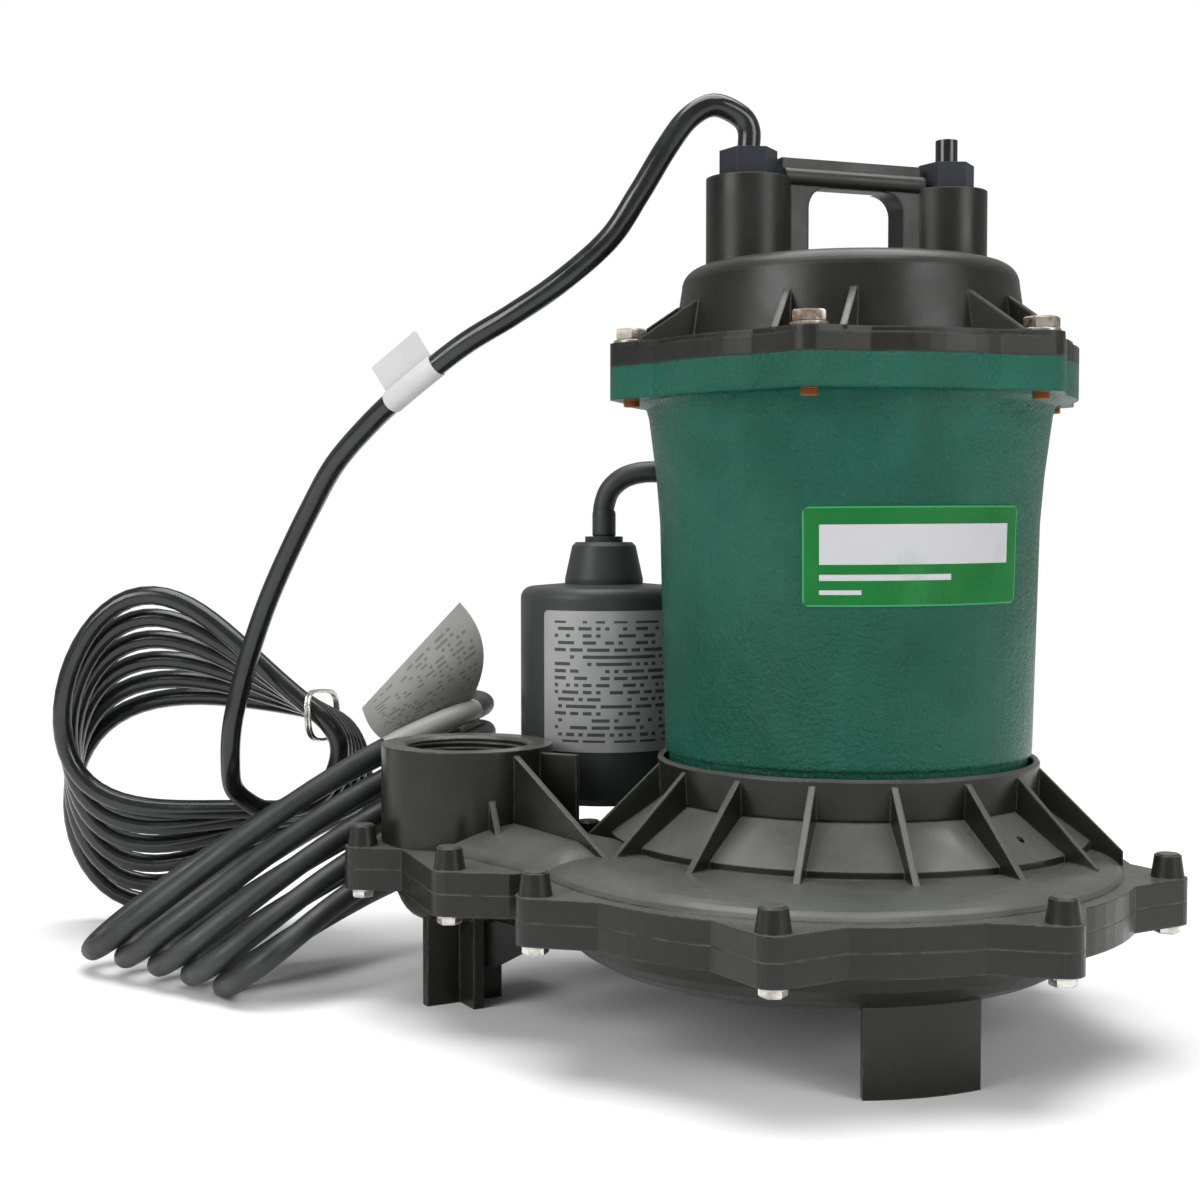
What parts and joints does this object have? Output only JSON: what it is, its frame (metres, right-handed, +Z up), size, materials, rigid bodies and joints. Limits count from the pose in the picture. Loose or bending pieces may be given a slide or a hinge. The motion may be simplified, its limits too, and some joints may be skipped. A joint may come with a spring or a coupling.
{
  "type": "submersible sump pump",
  "caption": "Submersible sump pump: round motor housing over a lobed volute with legs, carrying handle, upright discharge, tethered float switch and coiled cords.",
  "frame": {"origin": "on the floor under the middle of the pump's own outline, cords left out", "axes": "+Z up along the motor's axis, +X to the right seen from the front, +Y to the back; the discharge is at the left"},
  "size_m": [0.4867, 0.3181, 0.3452],
  "materials": {
    "cover_plastic": "soft sheen, fine grain",
    "green_paint": "paint over a rough casting",
    "volute_plastic": "soft sheen, flow marks",
    "gland_nylon": "satin",
    "cord_rubber": "glossy",
    "float_cord_rubber": "matt",
    "float_plastic": "satin",
    "label_green": "bare printed film",
    "label_silver": "bare foil",
    "label_white": "bare film",
    "bolt_steel": "weathered",
    "zinc_screws": "bright zinc",
    "seal_rubber": "matt",
    "lamination_steel": "stacked sheets",
    "winding_copper": "varnished wire",
    "capacitor_can": "drawn can",
    "bearing_steel": "ground",
    "bracket_casting": "cast",
    "shaft_steel": "turned",
    "impeller_plastic": "glass filled",
    "tie_wire": "thin wire"
  },
  "bodies": {
    "pump": {"top_cover": "cover_plastic", "cover_seal": "seal_rubber", "cover_bolts": "bolt_steel", "cord_gland": "gland_nylon", "plug_gland": "gland_nylon", "blank_plug": "cord_rubber", "cord_bushings": "seal_rubber", "motor_housing": "green_paint", "housing_label": "label_green", "stator": "lamination_steel", "stator_windings": "winding_copper", "capacitor": "capacitor_can", "upper_bearing": "bearing_steel", "bearing_bracket": "bracket_casting", "lower_bearing": "bearing_steel", "shaft_seal": "seal_rubber", "volute_top": "volute_plastic", "foot_seal": "seal_rubber", "housing_screws": "zinc_screws", "volute_seal": "seal_rubber", "volute_bottom": "volute_plastic", "volute_screws": "zinc_screws", "power_cord": "cord_rubber", "power_coil": "cord_rubber", "power_cord_end": "cord_rubber", "power_plug": "cord_rubber", "float_cord": "float_cord_rubber", "float_hank": "float_cord_rubber", "float_cord_end": "float_cord_rubber", "float_plug": "float_cord_rubber", "cord_tie": "tie_wire", "cord_band": "label_white"},
    "rotor": {"shaft": "shaft_steel", "rotor_core": "lamination_steel", "impeller": "impeller_plastic", "impeller_nut": "zinc_screws"},
    "float": {"float_body": "float_plastic", "float_neck": "float_plastic", "float_tether": "float_cord_rubber", "float_label": "label_silver"}
  },
  "joints": [
    {"name": "rotor_spin", "type": "hinge", "parent": "pump", "child": "rotor", "pos_m": [0.03658, 0.02138, 0.12], "axis": [0, 0, 1], "continuous": true},
    {"name": "float_swing", "type": "hinge", "parent": "pump", "child": "float", "pos_m": [-0.06542, 0.08688, 0.1854], "axis": [0.9684, -0.2496, 0], "range_deg": [0, 70]}
  ]
}
